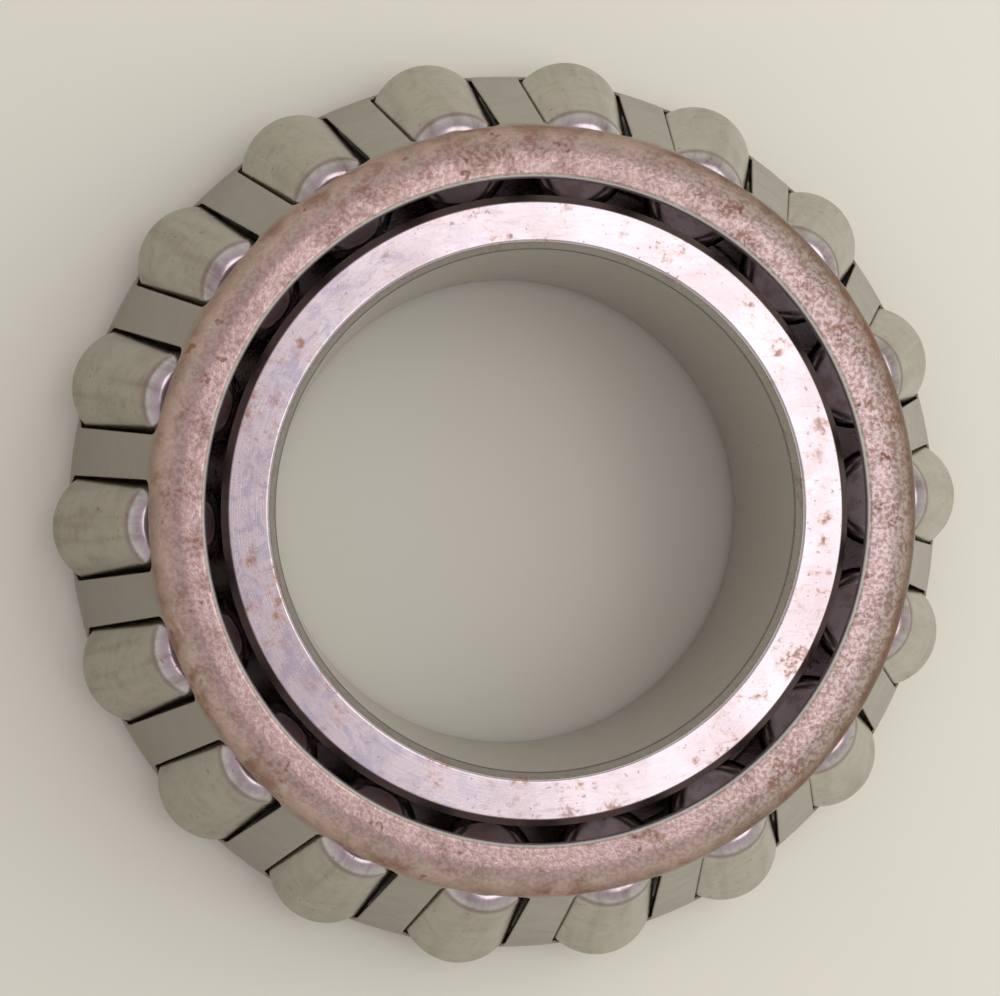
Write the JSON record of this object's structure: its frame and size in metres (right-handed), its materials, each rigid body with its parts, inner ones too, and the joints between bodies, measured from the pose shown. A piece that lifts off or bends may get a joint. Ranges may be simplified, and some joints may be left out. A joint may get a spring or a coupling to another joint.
{
  "type": "tapered roller bearing cone assembly",
  "caption": "Cone assembly of a tapered roller bearing: a bored inner ring, a pressed steel cage with windows, and tapered rollers that turn on the ring.",
  "frame": {"origin": "on the bearing axis, in the plane of the inner ring's wide back face, on which the part stands", "axes": "+Z along the bearing axis, from the wide back face to the narrow front face; +X through the middle of roller_01"},
  "size_m": [0.0914, 0.09, 0.0308],
  "materials": {
    "ring_steel": "ground bearing steel, fine circular grinding marks, a few rust specks",
    "cage_steel": "pressed mild steel, pinkish brown, mottled, with light rust stains",
    "roller_steel": "ground and polished bearing steel, oily, with faint stains"
  },
  "bodies": {
    "ring": {"inner_ring": "ring_steel"},
    "cage": {"cage": "cage_steel"},
    "roller_01": {"roller_01": "roller_steel"},
    "roller_02": {"roller_02": "roller_steel"},
    "roller_03": {"roller_03": "roller_steel"},
    "roller_04": {"roller_04": "roller_steel"},
    "roller_05": {"roller_05": "roller_steel"},
    "roller_06": {"roller_06": "roller_steel"},
    "roller_07": {"roller_07": "roller_steel"},
    "roller_08": {"roller_08": "roller_steel"},
    "roller_09": {"roller_09": "roller_steel"},
    "roller_10": {"roller_10": "roller_steel"},
    "roller_11": {"roller_11": "roller_steel"},
    "roller_12": {"roller_12": "roller_steel"},
    "roller_13": {"roller_13": "roller_steel"},
    "roller_14": {"roller_14": "roller_steel"},
    "roller_15": {"roller_15": "roller_steel"},
    "roller_16": {"roller_16": "roller_steel"},
    "roller_17": {"roller_17": "roller_steel"},
    "roller_18": {"roller_18": "roller_steel"}
  },
  "joints": [
    {"name": "cage_spin", "type": "hinge", "parent": "ring", "child": "cage", "pos_m": [0, 0, 0.015], "axis": [0, 0, 1], "continuous": true},
    {"name": "roller_01_spin", "type": "hinge", "parent": "cage", "child": "roller_01", "pos_m": [0.04053, 0, 0.00444], "axis": [-0.3697, 0, 0.9291], "continuous": true},
    {"name": "roller_02_spin", "type": "hinge", "parent": "cage", "child": "roller_02", "pos_m": [0.03809, 0.01386, 0.00444], "axis": [-0.3474, -0.1265, 0.9291], "continuous": true},
    {"name": "roller_03_spin", "type": "hinge", "parent": "cage", "child": "roller_03", "pos_m": [0.03105, 0.02605, 0.00444], "axis": [-0.2832, -0.2377, 0.9291], "continuous": true},
    {"name": "roller_04_spin", "type": "hinge", "parent": "cage", "child": "roller_04", "pos_m": [0.02027, 0.0351, 0.00444], "axis": [-0.1849, -0.3202, 0.9291], "continuous": true},
    {"name": "roller_05_spin", "type": "hinge", "parent": "cage", "child": "roller_05", "pos_m": [0.00704, 0.03992, 0.00444], "axis": [-0.0642, -0.3641, 0.9291], "continuous": true},
    {"name": "roller_06_spin", "type": "hinge", "parent": "cage", "child": "roller_06", "pos_m": [-0.00704, 0.03992, 0.00444], "axis": [0.0642, -0.3641, 0.9291], "continuous": true},
    {"name": "roller_07_spin", "type": "hinge", "parent": "cage", "child": "roller_07", "pos_m": [-0.02027, 0.0351, 0.00444], "axis": [0.1849, -0.3202, 0.9291], "continuous": true},
    {"name": "roller_08_spin", "type": "hinge", "parent": "cage", "child": "roller_08", "pos_m": [-0.03105, 0.02605, 0.00444], "axis": [0.2832, -0.2377, 0.9291], "continuous": true},
    {"name": "roller_09_spin", "type": "hinge", "parent": "cage", "child": "roller_09", "pos_m": [-0.03809, 0.01386, 0.00444], "axis": [0.3474, -0.1265, 0.9291], "continuous": true},
    {"name": "roller_10_spin", "type": "hinge", "parent": "cage", "child": "roller_10", "pos_m": [-0.04053, 0, 0.00444], "axis": [0.3697, 0, 0.9291], "continuous": true},
    {"name": "roller_11_spin", "type": "hinge", "parent": "cage", "child": "roller_11", "pos_m": [-0.03809, -0.01386, 0.00444], "axis": [0.3474, 0.1265, 0.9291], "continuous": true},
    {"name": "roller_12_spin", "type": "hinge", "parent": "cage", "child": "roller_12", "pos_m": [-0.03105, -0.02605, 0.00444], "axis": [0.2832, 0.2377, 0.9291], "continuous": true},
    {"name": "roller_13_spin", "type": "hinge", "parent": "cage", "child": "roller_13", "pos_m": [-0.02027, -0.0351, 0.00444], "axis": [0.1849, 0.3202, 0.9291], "continuous": true},
    {"name": "roller_14_spin", "type": "hinge", "parent": "cage", "child": "roller_14", "pos_m": [-0.00704, -0.03992, 0.00444], "axis": [0.0642, 0.3641, 0.9291], "continuous": true},
    {"name": "roller_15_spin", "type": "hinge", "parent": "cage", "child": "roller_15", "pos_m": [0.00704, -0.03992, 0.00444], "axis": [-0.0642, 0.3641, 0.9291], "continuous": true},
    {"name": "roller_16_spin", "type": "hinge", "parent": "cage", "child": "roller_16", "pos_m": [0.02027, -0.0351, 0.00444], "axis": [-0.1849, 0.3202, 0.9291], "continuous": true},
    {"name": "roller_17_spin", "type": "hinge", "parent": "cage", "child": "roller_17", "pos_m": [0.03105, -0.02605, 0.00444], "axis": [-0.2832, 0.2377, 0.9291], "continuous": true},
    {"name": "roller_18_spin", "type": "hinge", "parent": "cage", "child": "roller_18", "pos_m": [0.03809, -0.01386, 0.00444], "axis": [-0.3474, 0.1265, 0.9291], "continuous": true}
  ],
  "couplings": [
    {"joint": "roller_01_spin", "follows": "cage_spin", "ratio": 6.0234},
    {"joint": "roller_02_spin", "follows": "cage_spin", "ratio": 6.0234},
    {"joint": "roller_03_spin", "follows": "cage_spin", "ratio": 6.0234},
    {"joint": "roller_04_spin", "follows": "cage_spin", "ratio": 6.0234},
    {"joint": "roller_05_spin", "follows": "cage_spin", "ratio": 6.0234},
    {"joint": "roller_06_spin", "follows": "cage_spin", "ratio": 6.0234},
    {"joint": "roller_07_spin", "follows": "cage_spin", "ratio": 6.0234},
    {"joint": "roller_08_spin", "follows": "cage_spin", "ratio": 6.0234},
    {"joint": "roller_09_spin", "follows": "cage_spin", "ratio": 6.0234},
    {"joint": "roller_10_spin", "follows": "cage_spin", "ratio": 6.0234},
    {"joint": "roller_11_spin", "follows": "cage_spin", "ratio": 6.0234},
    {"joint": "roller_12_spin", "follows": "cage_spin", "ratio": 6.0234},
    {"joint": "roller_13_spin", "follows": "cage_spin", "ratio": 6.0234},
    {"joint": "roller_14_spin", "follows": "cage_spin", "ratio": 6.0234},
    {"joint": "roller_15_spin", "follows": "cage_spin", "ratio": 6.0234},
    {"joint": "roller_16_spin", "follows": "cage_spin", "ratio": 6.0234},
    {"joint": "roller_17_spin", "follows": "cage_spin", "ratio": 6.0234},
    {"joint": "roller_18_spin", "follows": "cage_spin", "ratio": 6.0234}
  ]
}
